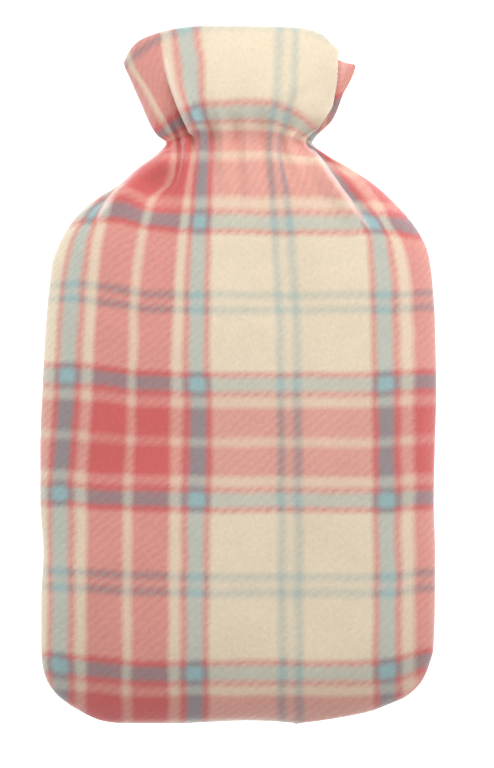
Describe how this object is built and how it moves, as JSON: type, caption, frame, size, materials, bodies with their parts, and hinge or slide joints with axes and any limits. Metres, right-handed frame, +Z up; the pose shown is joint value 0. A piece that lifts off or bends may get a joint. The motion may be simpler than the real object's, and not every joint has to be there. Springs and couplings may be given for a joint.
{
  "type": "hot water bottle cover",
  "caption": "Hollow soft fleece cover for a hot water bottle, with sloping shoulders, a gathered neck and a flared open ruff; lies flat on its back.",
  "frame": {"origin": "on the surface the cover lies on, below the middle of its outline", "axes": "+Y from the bottom seam to the open mouth, +Z up out of the front of the cover, +X to the right seen from the front"},
  "size_m": [0.2127, 0.3728, 0.0389],
  "materials": {
    "front_panel_fleece": "soft napped fleece in a red, cream and mint check",
    "back_panel_fleece": "soft napped fleece in a red, cream and mint check"
  },
  "bodies": {
    "root": {"front_panel": "front_panel_fleece", "back_panel": "back_panel_fleece"}
  },
  "joints": []
}
